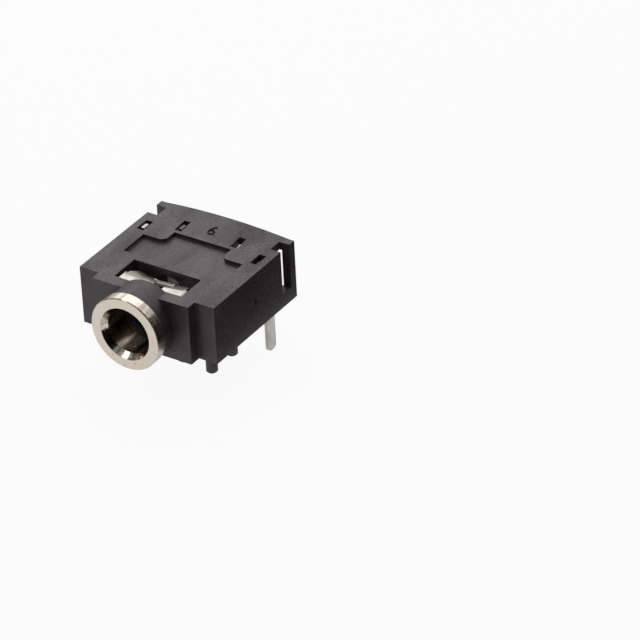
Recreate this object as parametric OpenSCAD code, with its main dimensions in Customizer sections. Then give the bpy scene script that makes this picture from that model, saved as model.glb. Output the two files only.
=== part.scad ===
// Board-mounted 3.5 mm stereo audio jack socket with two break contacts.
// Millimetres, +Z up. z = 0 is the board surface under the housing, x = 0 is the plug axis,
// y = 0 is the front face of the collar and the plug enters along +Y.

/* [Housing] */
// width across the sides
body_w = 12.0; // [11.4:0.1:13]
// depth from the front wall to the open rear
body_d = 10.75; // [10.4:0.05:11.5]
// height above the board
body_h = 4.85; // [4.7:0.05:5.3]
// thickness of the side walls of the rear chamber
wall_side = 0.7; // [0.6:0.02:0.8]
// thickness of the roof of the rear chamber
wall_top = 0.66; // [0.5:0.02:0.7]
// thickness of the floor of the rear chamber
wall_bottom = 0.65; // [0.5:0.05:0.7]
// width of the raised plate on the front wall
nose_w = 8.56; // [7:0.02:9.4]
// thickness of the raised plate
nose_t = 0.85; // [0.6:0.05:1.1]
// how far the raised plate hangs below the board surface
nose_drop = 0.1; // [0:0.02:0.3]
// diameter of the round boss that carries the collar
boss_d = 5.8; // [5.5:0.05:5.95]
// free length of the boss between collar and raised plate
boss_len = 1.2; // [0.9:0.05:1.6]
// depth of the boss that runs on over the front rim of the body
boss_run = 0.14; // [0.05:0.01:0.18]
// how far the roof is crowned at the open rear
crown_rise = 0.28; // [0.1:0.02:0.32]
// width of the crown at the open rear
crown_w = 11.2; // [10:0.1:11.3]
// front end of the crown
crown_front = 10.8; // [10.7:0.05:11.5]

/* [Plug bore and collar] */
// height of the plug axis above the board
axis_z = 2.45; // [2.42:0.01:2.55]
// bore for the plug
bore_d = 3.64; // [3.6:0.02:3.7]
// outside diameter of the collar
collar_d = 6.0; // [5.8:0.05:6.4]
// thickness of the collar in front of the boss
collar_t = 1.0; // [0.7:0.05:1.3]
// mouth of the lead-in cone
lead_d = 4.36; // [4:0.02:4.8]
// depth of the lead-in cone
lead_depth = 0.5; // [0.3:0.02:0.6]
// broken edge round the collar
collar_edge = 0.08; // [0.04:0.01:0.15]
// outside diameter of the tail pressed into the boss
tail_d = 4.7; // [4.4:0.05:5]
// length of the tail
tail_len = 1.7; // [1.2:0.05:1.9]
// gap left round the tail and behind the collar
seat_gap = 0.02; // [0.01:0.01:0.05]

/* [Sleeve slot and contact] */
// width of the slot through the housing
slot_w = 6.0; // [5.8:0.05:6.4]
// rim left between the front wall and the slot
slot_rim = 0.2; // [0.19:0.01:0.3]
// depth of the slot in the top
slot_len = 2.6; // [2.2:0.05:2.8]
// depth of the window in the underside
window_len = 3.58; // [3.4:0.02:3.8]
// gap between the sleeve contact and the slot
clip_gap = 0.08; // [0.04:0.01:0.12]
// depth of the strip folded over the bore
strip_d = 2.0; // [1.8:0.05:2.1]
// depth of the level front part of the strip
level_d = 0.68; // [0.5:0.02:0.8]
// slope of the strip behind its level part
roll_angle = 14; // [8:1:18]
// depth of the strip at the walls of the slot
side_d = 0.92; // [0.8:0.02:1.1]
// depth of the rear finger of the strip
finger_d = 0.43; // [0.36:0.01:0.5]
// reach of the rear finger right of the plug axis
finger_reach = 1.1; // [0.8:0.05:1.2]
// free end of the right tongue, from the plug axis
tongue_x = 0.87; // [0.7:0.01:1]
// depth of the free end of the right tongue
tongue_d = 0.98; // [0.8:0.02:1.1]
// depth of the right tongue near the wall
tongue_root_d = 1.6; // [1.4:0.05:1.7]
// length of the narrow part of the right tongue
tongue_root = 0.75; // [0.5:0.05:0.9]
// drop of the right tongue towards the bore
tongue_drop = 0.2; // [0.1:0.02:0.24]
// rise of the rear finger towards its free end
finger_pitch = 4; // [0:1:8]
// lowest line of the strip, left of the plug axis
fold_offset = 0.4; // [0.2:0.05:0.6]
// reach of the key that holds the base in the housing
key_len = 0.65; // [0.5:0.05:0.7]
// width of the key
key_w = 0.2; // [0.16:0.01:0.3]
// middle of the key behind the front of the slot
key_back = 1.02; // [0.9:0.01:1.1]
// width of the sleeve pin
sleeve_pin_w = 0.87; // [0.7:0.01:1.1]
// sleeve pin from the centre line
sleeve_pin_x = 0.2; // [-0.4:0.05:0.4]
// bend of the sleeve pin under the base
pin_bend_r = 0.2; // [0.16:0.01:0.24]
// width of the relief on each side of that bend
pin_relief = 0.7; // [0.4:0.05:0.9]

/* [Rear chamber] */
// room between the bore block and the ring contact
block_gap = 1.1; // [0.9:0.05:1.5]
// width of the bore block between the spring pockets
block_w = 4.9; // [4.4:0.05:5.2]
// front end of the spring pockets
pocket_front = 7.0; // [6.9:0.05:7.1]
// thickness of the flange across the rear of the side notches
flange_t = 0.66; // [0.4:0.02:0.8]
// width of a side notch
notch_w = 1.2; // [1:0.05:1.4]
// depth of a side notch from the side of the body
notch_depth = 0.9; // [0.74:0.02:0.94]
// height of the side notch floor above the board
notch_floor = 1.15; // [0.8:0.05:1.6]
// wide rounding at the entry of a terminal slot
mouth_r = 0.9; // [0.6:0.05:1]
// narrow rounding at the entry of a terminal slot
mouth_small_r = 0.25; // [0.1:0.05:0.4]

/* [Top] */
// width of the sunk panel
panel_w = 8.9; // [7.5:0.05:9]
// front edge of the sunk panel
panel_front = 6.5; // [6.2:0.05:6.8]
// depth of the wide part of the panel
panel_d = 2.65; // [2.2:0.05:2.8]
// width of the narrow rear part of the panel
panel_step_w = 5.1; // [3:0.05:5.2]
// depth of the narrow rear part of the panel
panel_step_d = 1.35; // [0.8:0.05:1.4]
// radius of the inner corners of the panel
panel_r = 0.55; // [0.2:0.05:0.7]
// how far the panel is sunk
panel_sink = 0.27; // [0.2:0.01:0.3]
// width of the four test holes
hole_w = 0.6; // [0.5:0.02:0.66]
// length of the four test holes
hole_len = 1.35; // [1.3:0.05:1.4]
// centre of the outer pair of holes
hole_outer_y = 10.27; // [10.25:0.01:10.3]
// centre of the inner pair of holes
hole_inner_y = 11.5; // [11.48:0.01:11.52]

/* [Locating posts] */
// diameter of the five posts
post_d = 0.9; // [0.7:0.05:1]
// length of the posts
post_len = 1.25; // [0.7:0.05:1.4]
// broken edge at the end of a post
post_edge = 0.12; // [0.05:0.01:0.2]
// front posts in from the sides of the body
post_side = 0.95; // [0.85:0.05:1.05]
// spacing of the front posts along the body
post_span_y = 2.65; // [2.2:0.05:2.8]
// front pair behind the front wall
post_front = 0.6; // [0.5:0.05:0.8]
// rear post on the centre line
post_rear_y = 11.3; // [11:0.05:11.5]

/* [Terminals] */
// thickness of the contact sheet
sheet_t = 0.28; // [0.22:0.01:0.3]
// width of the solder pins
pin_w = 1.0; // [0.8:0.02:1.04]
// length of the solder pins below the board surface
pin_len = 3.6; // [2.5:0.1:4]
// corner radius at the end of a pin
pin_tip_r = 0.36; // [0.2:0.02:0.4]
// position of the row of four pins
pin_row_y = 11.3; // [11.28:0.01:11.32]
// outer pins in from the sides of the body
pin_edge = 0.9; // [0.88:0.01:0.94]
// inner pins from the plug axis
pin_inner_x = 2.5; // [2.46:0.01:2.54]
// gap between a contact blade and its slot
blade_gap = 0.07; // [0.04:0.01:0.1]
// gap between a plate and the floor and roof of the chamber
plate_gap = 0.05; // [0.03:0.01:0.08]
// width of the tabs in the test holes
tab_w = 0.65; // [0.5:0.05:1]
// how far the two tip tabs rise into their test holes
tip_tab_rise = 0.6; // [0.4:0.02:0.62]
// how far the tab of the ring spring rises into its test hole
ring_tab_rise = 0.34; // [0.2:0.02:0.5]
// height of the spring arms
arm_h = 1.4; // [1:0.05:1.5]
// radius of the hairpin bends
hairpin_r = 0.55; // [0.5:0.01:0.57]
// how far a spring stands into the plug bore
spring_bite = 0.42; // [0.3:0.01:0.45]
// tip contact behind the collar face
tip_y = 11.9; // [11.85:0.01:11.95]
// tail of the tip spring
tip_tail = 1.25; // [1.2:0.01:1.3]
// ring contact behind the collar face
ring_y = 9.3; // [9.28:0.01:9.32]
// tail of the ring spring
ring_tail = 0.75; // [0.6:0.05:0.8]
// gap drawn at a closed break contact
break_gap = 0.03; // [0.02:0.01:0.05]
// flag of the tip's break contact behind the tip contact
flag_back = 1.15; // [1.12:0.01:1.16]
// width of that flag
flag_w = 0.32; // [0.24:0.02:0.4]
// room for the spring arm under and over the break blades
arm_room = 0.25; // [0.2:0.01:0.28]

/* [Hidden] */
$fn = 64;
e = 0.2;
body_front = collar_t + boss_len + nose_t;
rear = body_front + body_d;
block_rear = ring_y - block_gap;
cav_x = body_w / 2 - wall_side;
floor_z = wall_bottom;
roof_z = body_h - wall_top;
plate_low = floor_z + plate_gap;
plate_top = roof_z - plate_gap;
panel_rear = panel_front + panel_d + panel_step_d;
slot_front = body_front + slot_rim;
slot_rear = slot_front + slot_len;
window_rear = slot_front + window_len;
key_y = slot_front + key_back;
blade_slot = sheet_t + 2 * blade_gap;
post_x = body_w / 2 - post_side;
pin_outer_x = body_w / 2 - pin_edge;
pin_front = pin_row_y - pin_w / 2;
pin_rear = pin_row_y + pin_w / 2;
t = sheet_t;
bump_x = bore_d / 2 - spring_bite + t / 2;
bump_half = 0.12;
fold_r = 0.06;
mouth_sharp_r = 0.05;
arch_r = 0.2;
tail_slope = 0.85;
leg_len = 1.2;
tip_turn_y = 8.0;
ring_turn_y = 12.3;
black = [0.13, 0.12, 0.13];
nickel = [0.82, 0.8, 0.76];
tinned = [0.85, 0.84, 0.82];

// direction helpers for strips of sheet
function unit(v) = v / norm(v);
function left_of(v) = [-v[1], v[0]];
function dir_in(p, i) = i == 0 ? unit(p[1] - p[0]) : unit(p[i] - p[i - 1]);
function dir_out(p, i) = i == len(p) - 1 ? dir_in(p, i) : unit(p[i + 1] - p[i]);
function joint(p, i) = left_of(dir_in(p, i)) + left_of(dir_out(p, i));
function beside(p, i, s) = p[i] + s * 2 * joint(p, i) / (joint(p, i) * joint(p, i));
function on_circle(c, r, a) = c + r * [cos(a), sin(a)];
function bend(c, r, a0, a1, n) = [for (k = [0 : n]) on_circle(c, r, a0 + (a1 - a0) * k / n)];

// outline of a bent strip of sheet seen on edge
module strip(p) {
    polygon(concat([for (i = [0 : len(p) - 1]) beside(p, i, t / 2)],
                   [for (i = [len(p) - 1 : -1 : 0]) beside(p, i, -t / 2)]));
}

// flat rectangle between two corners
module area(a, b) {
    translate(a) square(b - a);
}

// flat shape given as y and z, of thickness th about the plane at x
module upright(x, th) {
    translate([x - th / 2, 0, 0]) rotate([90, 0, 90]) linear_extrude(th) children();
}

// flat shape given as x and z, reaching from y0 to y1
module across(y0, y1) {
    translate([0, y1, 0]) rotate([90, 0, 0]) linear_extrude(y1 - y0) children();
}

// flat shape given as x and y, reaching from z0 to z1
module level(z0, z1) {
    translate([0, 0, z0]) linear_extrude(z1 - z0) children();
}

// box between two corners
module span(a, b) {
    translate(a) cube(b - a);
}

// box on the side given by s, its x measured out from the centre line
module side_span(s, x, y, z) {
    span([min(s * x[0], s * x[1]), y[0], z[0]], [max(s * x[0], s * x[1]), y[1], z[1]]);
}

// round bar along the plug axis
module axial(d, y0, y1) {
    translate([0, y0, axis_z]) rotate([-90, 0, 0]) cylinder(d = d, h = y1 - y0);
}

// solder pin with rounded end: w wide about c, from the board side up to z1
module pin_shape(c, w, z1) {
    zr = pin_tip_r - pin_len;
    xr = w / 2 - pin_tip_r;
    area([c - w / 2, zr], [c + w / 2, z1]);
    area([c - xr, -pin_len], [c + xr, zr + e / 2]);
    translate([c - xr, zr]) circle(r = pin_tip_r, $fn = 32);
    translate([c + xr, zr]) circle(r = pin_tip_r, $fn = 32);
}

// locating post under the body
module post(x, y) {
    translate([x, y, post_edge - post_len])
        cylinder(d = post_d, h = post_len - post_edge + e, $fn = 32);
    translate([x, y, -post_len])
        cylinder(d1 = post_d - 2 * post_edge, d2 = post_d, h = post_edge, $fn = 32);
}

// entry of a blade slot at the rear edge of the floor, round on both sides
module slot_mouth(x, r_left, r_right) {
    xl = x - blade_slot / 2 - r_left;
    xr = x + blade_slot / 2;
    difference() {
        area([xl, rear - r_left], [xl + r_left, rear + e]);
        translate([xl, rear - r_left]) circle(r = r_left);
    }
    difference() {
        area([xr, rear - r_right], [xr + r_right, rear + e]);
        translate([xr + r_right, rear - r_right]) circle(r = r_right);
    }
}

// slot in the floor along which a terminal slides in from the rear
module blade_slot_cut(x) {
    span([x - blade_slot / 2, pin_front - blade_gap, -e], [x + blade_slot / 2, rear + e, floor_z + e]);
}

// test hole in the roof over a terminal
module test_hole(x, y) {
    span([x - hole_w / 2, y - hole_len / 2, roof_z - e], [x + hole_w / 2, y + hole_len / 2, body_h + e]);
}

// round inner corner of the sunk panel, on the side given by s
module panel_corner(s) {
    y = panel_front + panel_d;
    x = s * (panel_step_w / 2 + panel_r);
    difference() {
        translate([min(x, x - s * panel_r), y - 0.01]) square([panel_r, panel_r + 0.01]);
        translate([x, y + panel_r]) circle(r = panel_r);
    }
}

// sunk panel in the top
module panel_shape() {
    area([-panel_w / 2, panel_front], [panel_w / 2, panel_front + panel_d]);
    area([-panel_step_w / 2, panel_front], [panel_step_w / 2, panel_rear]);
    panel_corner(1);
    panel_corner(-1);
}

// space under the crowned roof, half wide to each side and back to y1, with the roof lowered by drop
module crown(half, y1, drop) {
    r = (crown_w * crown_w / 4 + crown_rise * crown_rise) / (2 * crown_rise);
    tilt = atan(crown_rise / (rear - crown_front));
    intersection() {
        span([-half, crown_front, axis_z], [half, y1, body_h + 2 * crown_rise]);
        translate([0, rear, body_h + crown_rise - drop]) rotate([tilt, 0, 0])
            translate([0, -body_d, -r]) rotate([-90, 0, 0]) cylinder(r = r, h = 2 * body_d);
    }
}

// rear chamber with its spring pockets
module chamber() {
    span([-cav_x, block_rear, floor_z], [cav_x, rear + e, roof_z]);
    for (sx = [-1, 1])
        side_span(sx, [block_w / 2, cav_x], [pocket_front, block_rear + e], [floor_z, roof_z]);
    crown(cav_x, rear + e, wall_top);
}

// outside of the moulding
module housing_solid() {
    span([-body_w / 2, body_front, 0], [body_w / 2, rear, body_h]);
    crown(body_w / 2, rear, 0);
    span([-nose_w / 2, body_front - nose_t, -nose_drop], [nose_w / 2, body_front + e / 2, body_h]);
    axial(boss_d, collar_t + seat_gap, body_front + boss_run);
    for (sx = [-1, 1]) {
        post(sx * post_x, body_front + post_front);
        post(sx * post_x, body_front + post_front + post_span_y);
    }
    post(0, post_rear_y);
}

// spaces inside the moulding
module housing_cuts() {
    axial(bore_d, 0, block_rear + e);
    axial(tail_d + 2 * seat_gap, 0, collar_t + tail_len + 2 * seat_gap);
    span([-slot_w / 2, slot_front, -e], [slot_w / 2, slot_rear, body_h + e]);
    span([-slot_w / 2, slot_front, -e], [slot_w / 2, window_rear, t + 2 * clip_gap]);
    span([-slot_w / 2 - key_len - clip_gap, key_y - key_w / 2 - clip_gap / 2, -e],
         [0, key_y + key_w / 2 + clip_gap / 2, t + 2 * clip_gap]);
    chamber();
    for (sx = [-1, 1]) {
        side_span(sx, [body_w / 2 - notch_depth, body_w / 2 + e],
                  [rear - flange_t - notch_w, rear - flange_t], [notch_floor, body_h + e]);
        blade_slot_cut(sx * pin_outer_x);
        blade_slot_cut(sx * pin_inner_x);
        test_hole(sx * pin_outer_x, hole_outer_y);
        test_hole(sx * pin_inner_x, hole_inner_y);
    }
    level(-e, floor_z + e) {
        slot_mouth(-pin_inner_x, mouth_r, mouth_small_r);
        slot_mouth(pin_inner_x, mouth_r, mouth_small_r);
        slot_mouth(pin_outer_x, mouth_r, mouth_sharp_r);
        slot_mouth(-pin_outer_x, mouth_sharp_r, mouth_small_r);
    }
    level(body_h - panel_sink, body_h + e) panel_shape();
}

// one black moulding: body, raised plate, boss and locating posts
module housing() {
    color(black) difference() {
        housing_solid();
        housing_cuts();
    }
}

// turned collar with lead-in cone and a tail pressed into the boss
module collar() {
    ri = bore_d / 2;
    ro = collar_d / 2;
    color(nickel) translate([0, 0, axis_z]) rotate([-90, 0, 0]) rotate_extrude()
        polygon([[lead_d / 2, 0], [ro - collar_edge, 0], [ro, collar_edge], [ro, collar_t - collar_edge],
                 [ro - collar_edge, collar_t], [tail_d / 2, collar_t], [tail_d / 2, collar_t + tail_len],
                 [ri, collar_t + tail_len], [ri, lead_depth]]);
}

// flat shape of sheet that hangs from the crease at p, pitched to the side and sloping down to the rear
module rolled(p, pitch) {
    translate(p) rotate([0, pitch, 0]) rotate([-roll_angle, 0, 0]) level(-t, 0) children();
}

// sleeve contact: one folded clip, base under the bore, fingers over it from both sides and the sleeve pin
module sleeve_contact() {
    zb = clip_gap + t / 2;
    xw = slot_w / 2 - clip_gap - t / 2;
    zt = body_h - clip_gap - t / 2;
    rb = t / 2 + fold_r;
    xt = xw - arch_r;
    za = zt - arch_r;
    y0 = slot_front + 1.5 * clip_gap;
    ys = y0 + side_d;
    yc = y0 + level_d;
    y2 = window_rear - clip_gap;
    roll_d = strip_d - level_d;
    finger_z = axis_z + bore_d / 2 - spring_bite + t / 2;
    finger_y = yc + roll_d * cos(roll_angle);
    fold_z = finger_z + (roll_d - finger_d / 2) * sin(roll_angle);
    left_end = [-fold_offset, fold_z];
    right_end = [tongue_x, zt - tongue_drop];
    finger_root = [-fold_offset, finger_z];
    finger_end = [finger_reach, finger_z + (finger_reach + fold_offset) * tan(finger_pitch)];
    left_run = norm(left_end - [-xt, zt]);
    right_run = norm(right_end - [xt, zt]);
    left_pitch = asin((zt - fold_z) / left_run);
    right_pitch = asin(tongue_drop / right_run);
    left_leg = concat([[0, zb]], bend([rb - xw, zb + rb], rb, 270, 180, 4),
                      bend([-xt, za], arch_r, 180, 90, 6));
    right_leg = concat([[0, zb]], bend([xw - rb, zb + rb], rb, -90, 0, 4),
                       bend([xt, za], arch_r, 0, 90, 6));
    tongue_v = tongue_d - level_d;
    root_v = tongue_root_d - level_d;
    pin_y = y2 - t / 2;
    pin_bend = concat([[pin_y - 4 * pin_bend_r, zb]],
                      bend([pin_y - pin_bend_r, zb - pin_bend_r], pin_bend_r, 90, 0, 5),
                      [[pin_y, zb - 2 * pin_bend_r]]);
    relief = sleeve_pin_w / 2 + pin_relief;
    color(tinned) {
        across(y0, yc) strip(concat(left_leg, [left_end]));
        across(y0, yc) strip(concat(right_leg, [right_end]));
        intersection() {
            union() {
                across(yc - e, ys) strip(concat(left_leg, [left_end]));
                across(yc - e, ys) strip(concat(right_leg, [right_end]));
            }
            for (sx = [-1, 1])
                side_span(sx, [xt, slot_w / 2], [y0, ys], [0, body_h]);
        }
        rolled([-xt, yc, zt] + t / 2 * [sin(left_pitch), 0, cos(left_pitch)], left_pitch)
            polygon([[0, 0], [0, roll_d / 2], [roll_d / 3, roll_d], [left_run, roll_d], [left_run, 0]]);
        rolled([xt, yc, zt] + t / 2 * [-sin(right_pitch), 0, cos(right_pitch)], -right_pitch)
            polygon([[0, 0], [0, root_v], [tongue_root - right_run, root_v],
                     [tongue_root / 2 - right_run, tongue_v], [-right_run, tongue_v], [-right_run, 0]]);
        across(finger_y - finger_d, finger_y - plate_gap)
            strip([finger_root + finger_d * [-cos(left_pitch), sin(left_pitch)], finger_root, finger_end]);
        level(zb - t / 2, zb + t / 2) difference() {
            union() {
                area([rb - xw, y0], [xw - rb, ys + e]);
                area([-xw - t / 2, ys + fold_r], [xw + t / 2, y2]);
                area([-slot_w / 2 - key_len, key_y - key_w / 2], [rb - xw, key_y + key_w / 2]);
            }
            area([sleeve_pin_x - relief, y2 - pin_relief / 2], [sleeve_pin_x + relief, y2 + e]);
        }
        upright(sleeve_pin_x, sleeve_pin_w) strip(pin_bend);
        across(pin_y - t / 2, pin_y + t / 2) pin_shape(sleeve_pin_x, sleeve_pin_w, zb - pin_bend_r);
    }
}

// hairpin spring arm: leg beside the wall, turn, long arm, bump at the plug and a tail, turned by s along y
module spring_arm(xo, yo, yb, s, tail) {
    back = bend([xo - hairpin_r, yo], hairpin_r, 0, -180, 10);
    tail_end = [bump_x + tail_slope * tail, yb + bump_half + tail];
    path = concat([[xo, yo + leg_len]], back, [[bump_x, yb - bump_half], [bump_x, yb + bump_half], tail_end]);
    level(axis_z - arm_h / 2, axis_z + arm_h / 2)
        strip([for (q = path) [q[0], yo + s * (q[1] - yo)]]);
}

// outer terminal in its own plane: pin, plate from y0 to the pin, and the tab that rises into the test hole
module outer_plate(y0, rise) {
    pin_shape(pin_row_y, pin_w, plate_low + plate_gap);
    area([y0, plate_low], [pin_rear, plate_top]);
    area([hole_outer_y - tab_w / 2, plate_top - t / 2], [hole_outer_y + tab_w / 2, roof_z + rise]);
}

// tip contact: plate beside the left wall, pin and a long arm that ends at the plug tip
module tip_spring() {
    color(tinned) {
        upright(-pin_outer_x, t) outer_plate(tip_turn_y + leg_len - e, tip_tab_rise);
        mirror([1, 0, 0]) spring_arm(pin_outer_x, tip_turn_y, tip_y, 1, tip_tail);
    }
}

// ring contact: plate beside the right wall, pin and an arm that turns at the rear and reaches forward
module ring_spring() {
    color(tinned) {
        upright(pin_outer_x, t) outer_plate(hole_outer_y - tab_w / 2 - e, ring_tab_rise);
        spring_arm(pin_outer_x, ring_turn_y, 2 * ring_turn_y - ring_y, -1, ring_tail);
    }
}

// break contact of the tip: blade with a notch for the arm and a flag at which the arm's tail rests
module tip_switch() {
    flag_y = tip_y + flag_back;
    low_z = axis_z - arm_h / 2 - arm_room;
    high_z = axis_z + arm_h / 2 + 1.4 * arm_room;
    foot_z = plate_low + arm_room;
    rib = t + plate_gap / 2;
    xo = -pin_inner_x - t / 2;
    half = t / 2 * sqrt(1 + tail_slope * tail_slope);
    xs = half + break_gap - bump_x - tail_slope * (flag_y - t / 2 - tip_y - bump_half);
    color(tinned) {
        upright(-pin_inner_x, t) {
            pin_shape(pin_row_y, pin_w, plate_low + plate_gap);
            area([pin_front, plate_low], [pin_rear + rib, low_z]);
            area([pin_rear, plate_low], [pin_rear + rib, plate_top]);
            area([hole_inner_y - tab_w / 2 - plate_gap, high_z], [flag_y + t / 2, plate_top]);
            area([hole_inner_y - tab_w / 2, plate_top - t / 3],
                 [hole_inner_y + tab_w / 2, roof_z + tip_tab_rise]);
        }
        across(flag_y - t / 2, flag_y + t / 2)
            polygon([[xo, plate_top], [xo, high_z], [xs, high_z - arm_room], [xs + 0.4 * flag_w, foot_z],
                     [xs + 2.3 * flag_w, foot_z], [xs + flag_w, axis_z - 0.57 * arm_h],
                     [xs + flag_w, high_z], [xo + 1.5 * flag_w, plate_top]]);
    }
}

// break contact of the ring: upright blade whose front edge stands at the inner face of the ring spring
module ring_switch() {
    mid_z = axis_z + arm_h / 2 + 2 * arm_room;
    slope = (pin_outer_x - 2 * hairpin_r - bump_x) / (ring_turn_y - ring_y - bump_half);
    half = t / 2 * sqrt(1 + slope * slope);
    edge_y = ring_y + bump_half + (pin_inner_x + t / 2 + break_gap + half - bump_x) / slope;
    neck_y = pin_rear - arm_room;
    back_y = pin_rear + t * 2 / 3;
    color(tinned) upright(pin_inner_x, t) {
        pin_shape(pin_row_y, pin_w, plate_low + plate_gap);
        area([pin_front, plate_low], [pin_rear, axis_z - arm_h / 2 - 0.8 * arm_room]);
        area([edge_y, plate_low], [back_y, mid_z]);
        area([neck_y, mid_z - t / 3], [back_y, plate_top]);
    }
}

housing();
collar();
sleeve_contact();
tip_spring();
tip_switch();
ring_switch();
ring_spring();
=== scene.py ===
"""Board-mount audio jack socket: finishes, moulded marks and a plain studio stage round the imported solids."""

import math

import bpy
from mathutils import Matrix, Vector


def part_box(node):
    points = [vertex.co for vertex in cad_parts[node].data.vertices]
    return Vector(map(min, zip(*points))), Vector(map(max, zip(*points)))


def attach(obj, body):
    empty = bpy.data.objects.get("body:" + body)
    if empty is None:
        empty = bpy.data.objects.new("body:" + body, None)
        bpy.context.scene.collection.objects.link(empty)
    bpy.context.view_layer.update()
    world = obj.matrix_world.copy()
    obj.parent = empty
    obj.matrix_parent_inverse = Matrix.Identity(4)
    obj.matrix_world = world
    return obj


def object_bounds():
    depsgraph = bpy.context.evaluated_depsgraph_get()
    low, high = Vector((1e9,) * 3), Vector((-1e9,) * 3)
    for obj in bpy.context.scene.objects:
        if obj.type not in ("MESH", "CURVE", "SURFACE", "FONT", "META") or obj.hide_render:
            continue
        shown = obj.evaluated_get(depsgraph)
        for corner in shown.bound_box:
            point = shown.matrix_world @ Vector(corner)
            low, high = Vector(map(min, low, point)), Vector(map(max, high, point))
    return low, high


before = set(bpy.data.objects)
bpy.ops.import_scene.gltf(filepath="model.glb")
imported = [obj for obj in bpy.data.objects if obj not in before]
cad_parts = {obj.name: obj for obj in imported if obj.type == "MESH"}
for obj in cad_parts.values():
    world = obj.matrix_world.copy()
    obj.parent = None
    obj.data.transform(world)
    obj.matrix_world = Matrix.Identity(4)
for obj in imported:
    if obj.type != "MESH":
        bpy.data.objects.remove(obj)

bl_info = {
    "name": "Audio jack socket",
    "version": (1, 0, 0),
    "blender": (4, 5, 0),
    "location": "View3D > Sidebar > Jack socket",
    "description": "Finishes, moulded marks and studio stage for a board-mount audio jack socket",
    "category": "Object",
}

MM = 0.001
CAD_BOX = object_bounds()
COLLAR_LOW, COLLAR_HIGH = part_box("collar")
PLUG_AXIS_Z = (COLLAR_LOW.z + COLLAR_HIGH.z) / 2
CONTACTS = ("sleeve_contact", "tip_spring", "tip_switch", "ring_switch", "ring_spring")

# Distances from the plug axis that part the collar's bore, cone, face and rim.
BORE_R = 1.825 * MM
CONE_MOUTH_R = 2.17 * MM
RIM_R = 2.95 * MM
# Slides the collar's streaks sideways, so that the left of the cone stays clean.
STREAK_SHIFT = (1.3 * MM, 0.0, 0.4 * MM)

# Marks on the moulding and the contacts, and places of painted shade on both, as boxes in millimetres.
GATE_PIT = ((5.9, 8.25, 2.3), (6.1, 8.4, 2.75))
ROOF_SEAM = ((1.985, 12.2, 4.7), (2.015, 14.0, 5.3))
LEFT_FINGER_BACK = ((-3.0, 4.4, 3.8), (-1.4, 6.5, 4.9))
RIGHT_FINGER_BACK = ((1.7, 4.4, 3.8), (3.0, 6.5, 4.9))
TABS_SHADED_IN_HOLES = ((-2.8, 9.9, 4.5), (5.2, 12.0, 4.9))

# The roof is crowned towards the open rear: its slope, and its height over the flat roof at the cavity number.
TOP_Z = 4.85 * MM
CROWN_RISE = 0.28
CROWN_RUN = 3.0
CROWN_TILT = math.atan(CROWN_RISE / CROWN_RUN)
CROWN_LIFT = 0.1 * MM
# Middles of the numbers in millimetres, each pin number beside its pin.
CAVITY_NUMBER = "6"
CAVITY_NUMBER_PLACE = (-0.06, 11.87)
PIN_NUMBER_PLACES = {"1": (-0.05, 7.75), "2": (-4.5, 9.7), "3": (-2.2, 9.6), "4": (2.35, 9.6),
                     "5": (4.75, 9.6)}
# The typeface's digits are this share of its size, and their strokes are thinned by a share of their height.
DIGIT_SHARE = 0.72
STROKE_THINNING = 0.02

# The floor lies just under the pins. The camera and mirrors see this share of it as plain white.
FLOOR_RADIUS = 0.5
FLOOR_GAP = 0.02 * MM
FLOOR_MIDDLE_Y = 6 * MM
FLOOR_TO_CAMERA = 0.93
FLOOR_TO_MIRRORS = 0.52
# Lamps round the middle of the body: direction, distance, width and height in metres, and power setting.
LAMP_AIM = Vector((0, 6 * MM, 1 * MM))
LAMPS = {"key_softbox": ((-0.47, 0.64, 0.61), 0.2, (0.19, 0.19), "key_power"),
         "back_softbox": ((0.15, 0.67, 0.72), 0.22, (0.14, 0.1), "back_power"),
         "front_softbox": ((-0.36, -0.42, 0.83), 0.2, (0.07, 0.07), "front_power")}
# Black cards: place in millimetres, facing, and size in millimetres.
FLAGS = {"dark_flag": ((7.6, 12, 3.2), (1, 0, 0), (40, 10)),
         "camera_flag": ((210, -165, 105), (0.7, -0.55, 0.35), (330, 330))}
# The room brightens from the camera's side to the back between these parts of the sky's depth.
SKY_FRONT_DEPTH = -0.2
SKY_BACK_DEPTH = 0.5
SENSOR_WIDTH = 36
CAMERA_PLACE = (0.16771, -0.22043, 0.17917)
CAMERA_TURN = (57.4523, 2.4460, 32.7338)


def linear(hex_code):
    """sRGB hex value as a linear RGBA colour."""
    parts = [int(hex_code[i:i + 2], 16) / 255 for i in (1, 3, 5)]
    return tuple(c / 12.92 if c <= 0.04045 else ((c + 0.055) / 1.055) ** 2.4 for c in parts) + (1.0,)


def add_node(tree, kind, values=None, links=None, **settings):
    """A node with its settings, its socket values and its incoming links."""
    made = tree.nodes.new(kind)
    for key, value in settings.items():
        setattr(made, key, value)
    for key, value in (values or {}).items():
        made.inputs[key].default_value = value
    for key, source in (links or {}).items():
        tree.links.new(source, made.inputs[key])
    return made


def new_material(name):
    """An empty node material and its tree."""
    made = bpy.data.materials.new(name)
    made.use_nodes = True
    made.node_tree.nodes.clear()
    return made, made.node_tree


def per_mm(size_mm):
    """Texture scale whose features are about this many millimetres wide, on coordinates in metres."""
    return 1.0 / (size_mm * MM)


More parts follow.
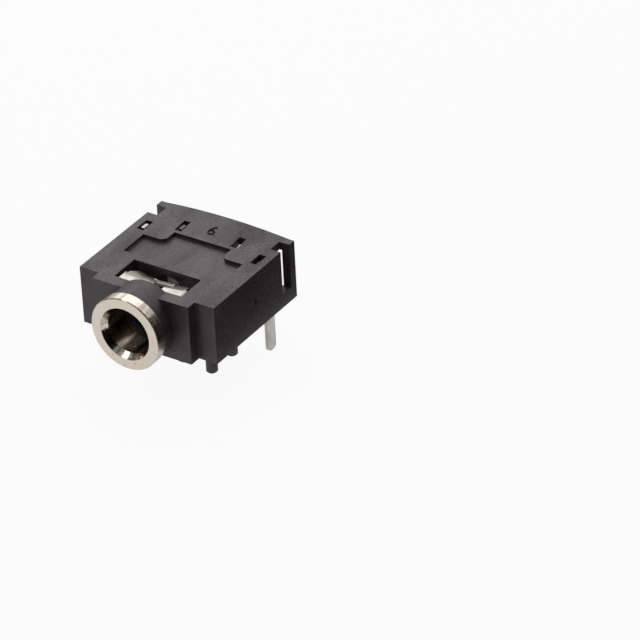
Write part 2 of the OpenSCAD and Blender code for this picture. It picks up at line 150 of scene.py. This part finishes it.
def inside_box(tree, place, low, high, soft=0.03):
    """Factor that is 1 inside a box given in millimetres and falls to 0 over a soft border outside it."""
    low, high = Vector(low), Vector(high)
    centred = add_node(tree, "ShaderNodeVectorMath", {1: (low + high) / 2 * MM}, {0: place},
                       operation="SUBTRACT")
    off = add_node(tree, "ShaderNodeVectorMath", links={0: centred.outputs["Vector"]}, operation="ABSOLUTE")
    over = add_node(tree, "ShaderNodeVectorMath", {1: (high - low) / 2 * MM}, {0: off.outputs["Vector"]},
                    operation="SUBTRACT")
    beyond = add_node(tree, "ShaderNodeVectorMath", {1: (0.0, 0.0, 0.0)}, {0: over.outputs["Vector"]},
                      operation="MAXIMUM")
    far = add_node(tree, "ShaderNodeVectorMath", links={0: beyond.outputs["Vector"]}, operation="LENGTH")
    fall = add_node(tree, "ShaderNodeMapRange", {"From Max": soft * MM, "To Min": 1.0, "To Max": 0.0},
                    {"Value": far.outputs["Value"]})
    return fall.outputs["Result"]


def dress(obj, material):
    """Gives an object one material."""
    obj.data.materials.clear()
    obj.data.materials.append(material)


class JackHousingFinish(bpy.types.PropertyGroup):
    """Black moulding."""
    colour: bpy.props.FloatVectorProperty(
        name="Plastic", description="Colour of the moulding", subtype="COLOR", size=4, min=0, max=1,
        default=linear("#302328"))
    streak: bpy.props.FloatVectorProperty(
        name="Flow marks", description="Paler tone where the melt flowed", subtype="COLOR", size=4,
        min=0, max=1, default=linear("#3d2e35"))
    # Paler tone painted on the moulded edges: a painted highlight.
    edge: bpy.props.FloatVectorProperty(
        name="Edge highlight", description="Paler tone painted on the edges as a highlight", subtype="COLOR", size=4,
        min=0, max=1, default=linear("#4d4348"))
    grain: bpy.props.FloatProperty(
        name="Grain", description="Width of the drawn skin grain", unit="LENGTH", default=0.17 * MM)
    rounding: bpy.props.FloatProperty(
        name="Edge rounding", description="Radius seen on the moulded edges", unit="LENGTH",
        default=0.05 * MM)


class JackMetalFinish(bpy.types.PropertyGroup):
    """Collar and contacts."""
    nickel: bpy.props.FloatVectorProperty(
        name="Nickel", description="Colour of the plated collar", subtype="COLOR", size=4, min=0, max=1,
        default=linear("#e6dbcd"))
    tin: bpy.props.FloatVectorProperty(
        name="Contact plating", description="Colour of the plated contact sheet", subtype="COLOR", size=4,
        min=0, max=1, default=linear("#cbc7c2"))
    tin_dull: bpy.props.FloatVectorProperty(
        name="Dull plating", description="Colour of the plating where it has dulled", subtype="COLOR", size=4,
        min=0, max=1, default=linear("#b4b0aa"))
    turning: bpy.props.FloatProperty(
        name="Turning pitch", description="Distance between the lathe marks", unit="LENGTH",
        default=0.09 * MM)


class JackMarks(bpy.types.PropertyGroup):
    """Moulded numbers."""
    digit_height: bpy.props.FloatProperty(
        name="Pin numbers", description="Height of the pin numbers", unit="LENGTH", default=0.8 * MM)
    cavity_height: bpy.props.FloatProperty(
        name="Cavity number", description="Height of the cavity number", unit="LENGTH", default=1.1 * MM)
    relief: bpy.props.FloatProperty(
        name="Relief", description="How far the numbers stand out", unit="LENGTH", default=0.05 * MM)


class JackStage(bpy.types.PropertyGroup):
    """Floor, light and camera."""
    key_power: bpy.props.FloatProperty(
        name="Key light", description="Power of the softbox behind on the left", unit="POWER", default=0.085)
    back_power: bpy.props.FloatProperty(
        name="Back light", description="Power of the lamp behind on the right", unit="POWER", default=0.019)
    front_power: bpy.props.FloatProperty(
        name="Front light", description="Power of the lamp in front on the left", unit="POWER", default=0.045)
    sky_front: bpy.props.FloatProperty(
        name="Front of the room", description="Level of the light from the camera's side", default=0.25,
        min=0)
    sky_back: bpy.props.FloatProperty(
        name="Back of the room", description="Level of the light from behind the socket", default=0.6, min=0)
    lens: bpy.props.FloatProperty(
        name="Focal length", description="Focal length on a 36 mm sensor", default=251.93, min=20)


def moulded_plastic(finish):
    """Glass-filled thermoplastic moulded against a spark-eroded tool: black with a warm purple cast, satin,
    with a fine dull grain, faint flow marks along the draw, the tool's marks, a painted highlight on the edges
    and painted shade in the gate pit."""
    made, tree = new_material("moulded_black_thermoplastic")
    place = add_node(tree, "ShaderNodeTexCoord").outputs["Object"]
    rounded = add_node(tree, "ShaderNodeBevel", {"Radius": finish.rounding}, samples=6)
    true_normal = add_node(tree, "ShaderNodeNewGeometry").outputs["Normal"]
    # Flow marks are about 1.5 mm apart and drawn out along the depth of the body.
    along = add_node(tree, "ShaderNodeMapping", {"Scale": (1.0, 0.3, 1.0)}, {"Vector": place})
    flow = add_node(tree, "ShaderNodeTexNoise", {"Scale": per_mm(1.5), "Detail": 4.0, "Roughness": 0.55},
                    {"Vector": along.outputs["Vector"]})
    flow_tone = add_node(tree, "ShaderNodeMapRange", {"From Min": 0.38, "From Max": 0.66},
                         {"Value": flow.outputs["Fac"]})
    # The eroded grit is about 0.03 mm, too fine to show, so it is drawn coarser.
    grain = add_node(tree, "ShaderNodeTexNoise",
                     {"Scale": 1.0 / finish.grain, "Detail": 3.0, "Roughness": 0.6}, {"Vector": place})
    # The gate broke off the right side and left a small pit. The tool's inserts met in a line on the roof.
    gate = inside_box(tree, place, GATE_PIT[0], GATE_PIT[1], soft=0.12)
    seam = inside_box(tree, place, ROOF_SEAM[0], ROOF_SEAM[1], soft=0.03)
    tone = add_node(tree, "ShaderNodeMix", links={"Factor": flow_tone.outputs["Result"]}, data_type="RGBA")
    tone.inputs["A"].default_value = finish.colour
    tone.inputs["B"].default_value = finish.streak
    speck = add_node(tree, "ShaderNodeMapRange",
                     {"From Min": 0.3, "From Max": 0.7, "To Min": 0.74, "To Max": 1.24},
                     {"Value": grain.outputs["Fac"]})
    # Painted shade: besides the bump, the gate pit is painted darker, on top of the random grain specks.
    sunk = add_node(tree, "ShaderNodeMath", {1: -0.8}, {0: gate, 2: speck.outputs["Result"]},
                    operation="MULTIPLY_ADD")
    mottled_with_pit_shade = add_node(tree, "ShaderNodeVectorMath",
                       links={0: tone.outputs["Result"], 1: sunk.outputs["Value"]}, operation="MULTIPLY")
    # Painted highlight: where the rounding bends the normal, the edges are painted paler.
    turn = add_node(tree, "ShaderNodeVectorMath", links={0: rounded.outputs["Normal"], 1: true_normal},
                    operation="DOT_PRODUCT")
    wear_and_edge_highlight = add_node(tree, "ShaderNodeMapRange", {"From Min": 0.985, "From Max": 0.86, "To Max": 0.7},
                    {"Value": turn.outputs["Value"]})
    colour = add_node(tree, "ShaderNodeMix",
                      links={"Factor": wear_and_edge_highlight.outputs["Result"], "A": mottled_with_pit_shade.outputs["Vector"]},
                      data_type="RGBA")
    colour.inputs["B"].default_value = finish.edge
    skin = add_node(tree, "ShaderNodeMapRange",
                    {"From Min": 0.3, "From Max": 0.7, "To Min": 0.25, "To Max": 0.5},
                    {"Value": grain.outputs["Fac"]})
    satin = add_node(tree, "ShaderNodeMath", {1: 0.18},
                     {0: flow_tone.outputs["Result"], 2: skin.outputs["Result"]}, operation="MULTIPLY_ADD")
    rough = add_node(tree, "ShaderNodeMath", {1: 0.5}, {0: gate, 2: satin.outputs["Value"]},
                     operation="MULTIPLY_ADD")
    lined = add_node(tree, "ShaderNodeMath", {1: -1.2}, {0: seam, 2: grain.outputs["Fac"]},
                     operation="MULTIPLY_ADD")
    pitted = add_node(tree, "ShaderNodeMath", {1: -0.5}, {0: gate, 2: lined.outputs["Value"]},
                      operation="MULTIPLY_ADD")
    bump = add_node(tree, "ShaderNodeBump", {"Strength": 0.8, "Distance": 0.028 * MM},
                    {"Height": pitted.outputs["Value"], "Normal": rounded.outputs["Normal"]})
    shader = add_node(tree, "ShaderNodeBsdfPrincipled", {"IOR": 1.66},
                      {"Base Color": colour.outputs["Result"], "Roughness": rough.outputs["Value"],
                       "Normal": bump.outputs["Normal"]})
    add_node(tree, "ShaderNodeOutputMaterial", links={"Surface": shader.outputs["BSDF"]})
    return made


def shaded_stroke():
    """The same plastic on the moulded numbers, quite matt and painted darker: painted shade on the strokes."""
    made, tree = new_material("dull_black_thermoplastic")
    place = add_node(tree, "ShaderNodeTexCoord").outputs["Object"]
    grain = add_node(tree, "ShaderNodeTexNoise", {"Scale": per_mm(0.1), "Detail": 2.0}, {"Vector": place})
    # Painted shade: the strokes take a darker tone than the moulding.
    tone = add_node(tree, "ShaderNodeMix", links={"Factor": grain.outputs["Fac"]}, data_type="RGBA")
    tone.inputs["A"].default_value = linear("#1d161a")
    tone.inputs["B"].default_value = linear("#2c2328")
    shader = add_node(tree, "ShaderNodeBsdfPrincipled", {"Roughness": 0.8, "Specular IOR Level": 0.2},
                      {"Base Color": tone.outputs["Result"]})
    add_node(tree, "ShaderNodeOutputMaterial", links={"Surface": shader.outputs["BSDF"]})
    return made


def nickel_plate(finish):
    """Bright nickel on turned brass: warm white metal with fine lathe marks round the plug axis, a few dull
    spots from handling, streaks along the axis on rim, cone and bore, and painted brown shade in the bore."""
    made, tree = new_material("nickel_plated_turned_brass")
    place = add_node(tree, "ShaderNodeTexCoord").outputs["Object"]
    centred = add_node(tree, "ShaderNodeMapping", {"Location": (0.0, 0.0, -PLUG_AXIS_Z)}, {"Vector": place})
    parts = add_node(tree, "ShaderNodeSeparateXYZ", links={"Vector": centred.outputs["Vector"]})
    flat = add_node(tree, "ShaderNodeCombineXYZ", links={"X": parts.outputs["X"], "Z": parts.outputs["Z"]})
    radius = add_node(tree, "ShaderNodeVectorMath", links={0: flat.outputs["Vector"]}, operation="LENGTH")
    # Lathe marks follow the distance from the axis on the faces and the depth on the rim.
    groove = add_node(tree, "ShaderNodeCombineXYZ",
                      links={"X": radius.outputs["Value"], "Y": parts.outputs["Y"]})
    lathe = add_node(tree, "ShaderNodeTexNoise", {"Scale": 1.0 / finish.turning, "Detail": 2.0},
                     {"Vector": groove.outputs["Vector"]}, noise_dimensions="2D")
    # Cone and bore were burnished by a reamer, and the bar was drawn before it was turned, so cone, bore and
    # rim have streaks along the axis.
    inner = add_node(tree, "ShaderNodeMath", {1: CONE_MOUTH_R}, {0: radius.outputs["Value"]},
                     operation="LESS_THAN")
    outer = add_node(tree, "ShaderNodeMath", {0: 1.0}, {1: inner.outputs["Value"]}, operation="SUBTRACT")
    rim = add_node(tree, "ShaderNodeMath", {1: RIM_R}, {0: radius.outputs["Value"]},
                   operation="GREATER_THAN")
    drawn = add_node(tree, "ShaderNodeMapping", {"Scale": (1.0, 0.1, 1.0), "Location": STREAK_SHIFT},
                     {"Vector": centred.outputs["Vector"]})
    reamed = add_node(tree, "ShaderNodeTexNoise", {"Scale": per_mm(0.5), "Detail": 2.0},
                      {"Vector": drawn.outputs["Vector"]})
    spots = add_node(tree, "ShaderNodeTexNoise", {"Scale": per_mm(0.45), "Detail": 5.0, "Roughness": 0.65},
                     {"Vector": place})
    dull = add_node(tree, "ShaderNodeMapRange", {"From Min": 0.58, "From Max": 0.74, "To Max": 0.5},
                    {"Value": spots.outputs["Fac"]})
    streak = add_node(tree, "ShaderNodeMapRange", {"From Min": 0.45, "From Max": 0.58, "To Max": 0.75},
                      {"Value": reamed.outputs["Fac"]})
    marked = add_node(tree, "ShaderNodeMath", {1: 0.6}, {0: rim.outputs["Value"], 2: inner.outputs["Value"]},
                      operation="MULTIPLY_ADD")
    wear_and_edge_highlight = add_node(tree, "ShaderNodeMath", links={0: streak.outputs["Result"], 1: marked.outputs["Value"],
                                                   2: dull.outputs["Result"]}, operation="MULTIPLY_ADD")
    # The bore is painted a darker brown: painted shade inside the bore. Streaks and dull spots add real wear.
    bore = add_node(tree, "ShaderNodeMath", {1: BORE_R}, {0: radius.outputs["Value"]}, operation="LESS_THAN")
    bore_shade_and_wear = add_node(tree, "ShaderNodeMath", {1: 0.35}, {0: bore.outputs["Value"], 2: wear_and_edge_highlight.outputs["Value"]},
                     operation="MULTIPLY_ADD", use_clamp=True)
    colour = add_node(tree, "ShaderNodeMix", links={"Factor": bore_shade_and_wear.outputs["Value"]}, data_type="RGBA")
    colour.inputs["A"].default_value = finish.nickel
    colour.inputs["B"].default_value = linear("#7a6555")
    turned = add_node(tree, "ShaderNodeMapRange",
                      {"From Min": 0.3, "From Max": 0.7, "To Min": 0.2, "To Max": 0.34},
                      {"Value": lathe.outputs["Fac"]})
    burnished = add_node(tree, "ShaderNodeMath", {1: -0.13},
                         {0: inner.outputs["Value"], 2: turned.outputs["Result"]}, operation="MULTIPLY_ADD")
    rough = add_node(tree, "ShaderNodeMath", {1: 0.17},
                     {0: bore.outputs["Value"], 2: burnished.outputs["Value"]}, operation="MULTIPLY_ADD")
    ridge = add_node(tree, "ShaderNodeMath", links={0: lathe.outputs["Fac"], 1: outer.outputs["Value"]},
                     operation="MULTIPLY")
    streaked = add_node(tree, "ShaderNodeMath", {1: 14.0},
                        {0: rim.outputs["Value"], 2: inner.outputs["Value"]}, operation="MULTIPLY_ADD")
    chatter = add_node(tree, "ShaderNodeMath", links={0: reamed.outputs["Fac"], 1: streaked.outputs["Value"]},
                       operation="MULTIPLY")
    relief = add_node(tree, "ShaderNodeMath", {1: 3.0},
                      {0: chatter.outputs["Value"], 2: ridge.outputs["Value"]}, operation="MULTIPLY_ADD")
    rounded = add_node(tree, "ShaderNodeBevel", {"Radius": 0.04 * MM}, samples=6)
    bump = add_node(tree, "ShaderNodeBump", {"Strength": 0.3, "Distance": 0.006 * MM},
                    {"Height": relief.outputs["Value"], "Normal": rounded.outputs["Normal"]})
    shader = add_node(tree, "ShaderNodeBsdfPrincipled", {"Metallic": 1.0},
                      {"Base Color": colour.outputs["Result"], "Roughness": rough.outputs["Value"],
                       "Normal": bump.outputs["Normal"]})
    add_node(tree, "ShaderNodeOutputMaterial", links={"Surface": shader.outputs["BSDF"]})
    return made


def plated_sheet(finish):
    """Phosphor bronze sheet, bright plated after stamping: near white metal with rolling streaks and duller
    patches, and soft sheared edges."""
    made, tree = new_material("plated_bronze_sheet")
    place = add_node(tree, "ShaderNodeTexCoord").outputs["Object"]
    # Rolling streaks about 0.12 mm wide, drawn out along the height of the pins.
    along = add_node(tree, "ShaderNodeMapping", {"Scale": (1.0, 1.0, 0.12)}, {"Vector": place})
    streaks = add_node(tree, "ShaderNodeTexNoise", {"Scale": per_mm(0.12), "Detail": 3.0},
                       {"Vector": along.outputs["Vector"]})
    patches = add_node(tree, "ShaderNodeTexNoise", {"Scale": per_mm(0.9), "Detail": 3.0, "Roughness": 0.5},
                       {"Vector": place})
    dull = add_node(tree, "ShaderNodeMapRange", {"From Min": 0.45, "From Max": 0.7},
                    {"Value": patches.outputs["Fac"]})
    plating = add_node(tree, "ShaderNodeMix", links={"Factor": dull.outputs["Result"]}, data_type="RGBA")
    plating.inputs["A"].default_value = finish.tin
    plating.inputs["B"].default_value = finish.tin_dull
    # Behind their front edge the fingers are painted darker bronze: painted shade for the bend, where the sheet
    # tilts.
    left = inside_box(tree, place, LEFT_FINGER_BACK[0], LEFT_FINGER_BACK[1], soft=0.5)
    right = inside_box(tree, place, RIGHT_FINGER_BACK[0], RIGHT_FINGER_BACK[1], soft=0.5)
    finger_back_shade = add_node(tree, "ShaderNodeMath", links={0: left, 1: right}, operation="MAXIMUM")
    finger_back_shaded = add_node(tree, "ShaderNodeMix",
                       links={"Factor": finger_back_shade.outputs["Value"], "A": plating.outputs["Result"]},
                       data_type="RGBA")
    finger_back_shaded.inputs["B"].default_value = linear("#958a82")
    # The top edges of the tabs seen through the holes in the roof are painted dark: painted shade inside the
    # holes.
    sheared = inside_box(tree, place, TABS_SHADED_IN_HOLES[0], TABS_SHADED_IN_HOLES[1])
    colour = add_node(tree, "ShaderNodeMix", links={"Factor": sheared, "A": finger_back_shaded.outputs["Result"]},
                      data_type="RGBA")
    colour.inputs["B"].default_value = linear("#5d5550")
    rough = add_node(tree, "ShaderNodeMapRange",
                     {"From Min": 0.3, "From Max": 0.7, "To Min": 0.25, "To Max": 0.36},
                     {"Value": patches.outputs["Fac"]})
    rounded = add_node(tree, "ShaderNodeBevel", {"Radius": 0.05 * MM}, samples=6)
    bump = add_node(tree, "ShaderNodeBump", {"Strength": 0.2, "Distance": 0.006 * MM},
                    {"Height": streaks.outputs["Fac"], "Normal": rounded.outputs["Normal"]})
    shader = add_node(tree, "ShaderNodeBsdfPrincipled", {"Metallic": 1.0},
                      {"Base Color": colour.outputs["Result"], "Roughness": rough.outputs["Result"],
                       "Normal": bump.outputs["Normal"]})
    add_node(tree, "ShaderNodeOutputMaterial", links={"Surface": shader.outputs["BSDF"]})
    return made


def pale_floor():
    """Smooth white card. The camera sees it nearly white, with the socket's own soft shadow."""
    made, tree = new_material("white_card")
    place = add_node(tree, "ShaderNodeTexCoord").outputs["Object"]
    fibre = add_node(tree, "ShaderNodeTexNoise", {"Scale": per_mm(3.0), "Detail": 2.0}, {"Vector": place})
    tone = add_node(tree, "ShaderNodeMix", links={"Factor": fibre.outputs["Fac"]}, data_type="RGBA")
    tone.inputs["A"].default_value = linear("#f2f2f2")
    tone.inputs["B"].default_value = linear("#f6f6f6")
    card = add_node(tree, "ShaderNodeBsdfDiffuse", links={"Color": tone.outputs["Result"]})
    white = add_node(tree, "ShaderNodeEmission", {"Strength": 1.0})
    rays = add_node(tree, "ShaderNodeLightPath")
    direct = add_node(tree, "ShaderNodeMath", {1: FLOOR_TO_CAMERA}, {0: rays.outputs["Is Camera Ray"]},
                      operation="MULTIPLY")
    share = add_node(tree, "ShaderNodeMath", {1: FLOOR_TO_MIRRORS},
                     {0: rays.outputs["Is Glossy Ray"], 2: direct.outputs["Value"]}, operation="MULTIPLY_ADD")
    seen = add_node(tree, "ShaderNodeMixShader",
                    links={0: share.outputs["Value"], 1: card.outputs["BSDF"], 2: white.outputs["Emission"]})
    below = add_node(tree, "ShaderNodeNewGeometry").outputs["Backfacing"]
    clear = add_node(tree, "ShaderNodeBsdfTransparent")
    one_sided = add_node(tree, "ShaderNodeMixShader",
                         links={0: below, 1: seen.outputs["Shader"], 2: clear.outputs["BSDF"]})
    add_node(tree, "ShaderNodeOutputMaterial", links={"Surface": one_sided.outputs["Shader"]})
    return made


def black_card():
    """Matt black card that only mirrors see: one darkens the socket's right side and one the cone."""
    made, tree = new_material("black_card")
    place = add_node(tree, "ShaderNodeTexCoord").outputs["Object"]
    fibre = add_node(tree, "ShaderNodeTexNoise", {"Scale": per_mm(2.0)}, {"Vector": place})
    tone = add_node(tree, "ShaderNodeMix", links={"Factor": fibre.outputs["Fac"]}, data_type="RGBA")
    tone.inputs["A"].default_value = linear("#101010")
    tone.inputs["B"].default_value = linear("#181818")
    card = add_node(tree, "ShaderNodeBsdfDiffuse", links={"Color": tone.outputs["Result"]})
    add_node(tree, "ShaderNodeOutputMaterial", links={"Surface": card.outputs["BSDF"]})
    return made


def deselect():
    """Leaves nothing selected, in object mode."""
    if bpy.context.mode != "OBJECT":
        bpy.ops.object.mode_set(mode="OBJECT")
    bpy.ops.object.select_all(action="DESELECT")


def moulded_digit(name, text, height, relief, place, turn):
    """A raised digit: text made a mesh, half sunk in the face at its place."""
    deselect()
    bpy.ops.object.text_add(location=(0, 0, 0))
    digit = bpy.context.active_object
    digit.name = name
    digit.data.body = text
    digit.data.size = height / DIGIT_SHARE
    digit.data.align_x = "CENTER"
    digit.data.align_y = "CENTER"
    digit.data.extrude = relief
    digit.data.offset = -STROKE_THINNING * height
    digit.data.resolution_u = 6
    bpy.ops.object.convert(target="MESH")
    digit = bpy.context.active_object
    bpy.ops.object.mode_set(mode="EDIT")
    bpy.ops.mesh.select_all(action="SELECT")
    bpy.ops.mesh.remove_doubles(threshold=0.001 * MM)
    bpy.ops.mesh.normals_make_consistent(inside=False)
    bpy.ops.object.mode_set(mode="OBJECT")
    digit.location = place
    digit.rotation_euler = turn
    bpy.ops.object.transform_apply(location=True, rotation=True, scale=True)
    digit.data.name = name
    return digit


class JACK_OT_housing_finish(bpy.types.Operator):
    """Finish the black moulding"""
    bl_idname = "jack.housing_finish"
    bl_label = "Housing finish"

    def execute(self, context):
        dress(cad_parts["housing"], moulded_plastic(context.scene.jack_housing))
        return {"FINISHED"}


class JACK_OT_collar_finish(bpy.types.Operator):
    """Finish the turned collar"""
    bl_idname = "jack.collar_finish"
    bl_label = "Collar finish"

    def execute(self, context):
        dress(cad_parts["collar"], nickel_plate(context.scene.jack_metal))
        return {"FINISHED"}


class JACK_OT_contact_finish(bpy.types.Operator):
    """Finish the stamped contacts"""
    bl_idname = "jack.contact_finish"
    bl_label = "Contact finish"

    def execute(self, context):
        sheet = plated_sheet(context.scene.jack_metal)
        for name in CONTACTS:
            dress(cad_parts[name], sheet)
        return {"FINISHED"}


class JACK_OT_pin_numbers(bpy.types.Operator):
    """Mould the pin numbers on the underside"""
    bl_idname = "jack.pin_numbers"
    bl_label = "Pin numbers"

    def execute(self, context):
        marks = context.scene.jack_marks
        plastic = shaded_stroke()
        for text, (x, y) in PIN_NUMBER_PLACES.items():
            digit = moulded_digit("pin_number_" + text, text, marks.digit_height, marks.relief,
                                  (x * MM, y * MM, 0.0), (math.pi, 0, 0))
            dress(digit, plastic)
            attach(digit, "root")
        return {"FINISHED"}


class JACK_OT_cavity_number(bpy.types.Operator):
    """Mould the cavity number on the top"""
    bl_idname = "jack.cavity_number"
    bl_label = "Cavity number"

    def execute(self, context):
        marks = context.scene.jack_marks
        x, y = CAVITY_NUMBER_PLACE
        digit = moulded_digit("cavity_number", CAVITY_NUMBER, marks.cavity_height, marks.relief,
                              (x * MM, y * MM, TOP_Z + CROWN_LIFT), (CROWN_TILT, 0, 0))
        dress(digit, bpy.data.materials["dull_black_thermoplastic"])
        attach(digit, "root")
        return {"FINISHED"}


class JACK_OT_stage(bpy.types.Operator):
    """Lay the floor, hang the lights and set the camera"""
    bl_idname = "jack.stage"
    bl_label = "Stage"

    def execute(self, context):
        stage = context.scene.jack_stage
        deselect()
        bpy.ops.mesh.primitive_circle_add(vertices=96, radius=FLOOR_RADIUS, fill_type="NGON",
                                          location=(0, FLOOR_MIDDLE_Y, CAD_BOX[0].z - FLOOR_GAP))
        floor = bpy.context.active_object
        floor.name = "floor"
        bpy.ops.object.transform_apply(location=True, rotation=True, scale=True)
        dress(floor, pale_floor())
        for name, (way, distance, (width, height), power) in LAMPS.items():
            toward = Vector(way).normalized()
            deselect()
            bpy.ops.object.light_add(type="AREA", location=LAMP_AIM + toward * distance)
            lamp = bpy.context.active_object
            lamp.name = name
            lamp.data.shape = "ELLIPSE"
            lamp.data.size = width
            lamp.data.size_y = height
            lamp.data.energy = getattr(stage, power)
            lamp.rotation_euler = toward.to_track_quat("Z", "Y").to_euler()
            lamp.visible_camera = False
        card = black_card()
        for name, (place, facing, size) in FLAGS.items():
            deselect()
            bpy.ops.mesh.primitive_plane_add(size=1, location=Vector(place) * MM,
                                             rotation=Vector(facing).to_track_quat("Z", "Y").to_euler())
            flag = bpy.context.active_object
            flag.name = name
            flag.scale = (size[0] * MM, size[1] * MM, 1)
            bpy.ops.object.transform_apply(location=True, rotation=True, scale=True)
            dress(flag, card)
            for kind in ("visible_camera", "visible_diffuse", "visible_shadow", "visible_transmission"):
                setattr(flag, kind, False)
        world = bpy.data.worlds.new("white_studio")
        world.use_nodes = True
        tree = world.node_tree
        tree.nodes.clear()
        rays = add_node(tree, "ShaderNodeLightPath")
        way = add_node(tree, "ShaderNodeTexCoord").outputs["Generated"]
        depth = add_node(tree, "ShaderNodeSeparateXYZ", links={"Vector": way})
        room = add_node(tree, "ShaderNodeMapRange",
                        {"From Min": SKY_FRONT_DEPTH, "From Max": SKY_BACK_DEPTH,
                         "To Min": stage.sky_front, "To Max": stage.sky_back}, {"Value": depth.outputs["Y"]})
        level = add_node(tree, "ShaderNodeMath",
                         links={0: room.outputs["Result"], 1: rays.outputs["Is Camera Ray"]},
                         operation="MAXIMUM")
        sky = add_node(tree, "ShaderNodeBackground", {"Color": (1, 1, 1, 1)},
                       {"Strength": level.outputs["Value"]})
        add_node(tree, "ShaderNodeOutputWorld", links={"Surface": sky.outputs["Background"]})
        context.scene.world = world
        camera = bpy.data.objects.new("photo_camera", bpy.data.cameras.new("photo_camera"))
        context.scene.collection.objects.link(camera)
        camera.data.sensor_width = SENSOR_WIDTH
        camera.data.lens = stage.lens
        camera.data.clip_start = 0.01
        camera.data.clip_end = 10
        camera.location = CAMERA_PLACE
        camera.rotation_euler = [math.radians(a) for a in CAMERA_TURN]
        context.scene.camera = camera
        context.scene.view_settings.view_transform = "Standard"
        return {"FINISHED"}


class JACK_PT_sidebar(bpy.types.Panel):
    """The socket's finishes, marks and stage"""
    bl_idname = "JACK_PT_sidebar"
    bl_label = "Jack socket"
    bl_space_type = "VIEW_3D"
    bl_region_type = "UI"
    bl_category = "Jack socket"

    def draw(self, context):
        for group in ("jack_housing", "jack_metal", "jack_marks", "jack_stage"):
            settings = getattr(context.scene, group)
            for key in settings.__annotations__:
                self.layout.prop(settings, key)
        for operator in OPERATORS:
            self.layout.operator(operator.bl_idname)


GROUPS = {"jack_housing": JackHousingFinish, "jack_metal": JackMetalFinish, "jack_marks": JackMarks,
          "jack_stage": JackStage}
OPERATORS = (JACK_OT_housing_finish, JACK_OT_collar_finish, JACK_OT_contact_finish, JACK_OT_pin_numbers,
             JACK_OT_cavity_number, JACK_OT_stage)


def register():
    for cls in (*GROUPS.values(), *OPERATORS, JACK_PT_sidebar):
        bpy.utils.register_class(cls)
    for name, cls in GROUPS.items():
        setattr(bpy.types.Scene, name, bpy.props.PointerProperty(type=cls))


def unregister():
    for name in GROUPS:
        delattr(bpy.types.Scene, name)
    for cls in reversed((*GROUPS.values(), *OPERATORS, JACK_PT_sidebar)):
        bpy.utils.unregister_class(cls)


def main():
    register()
    bpy.ops.jack.housing_finish()
    bpy.ops.jack.collar_finish()
    bpy.ops.jack.contact_finish()
    bpy.ops.jack.pin_numbers()
    bpy.ops.jack.cavity_number()
    bpy.ops.jack.stage()


if __name__ == "__main__":
    main()
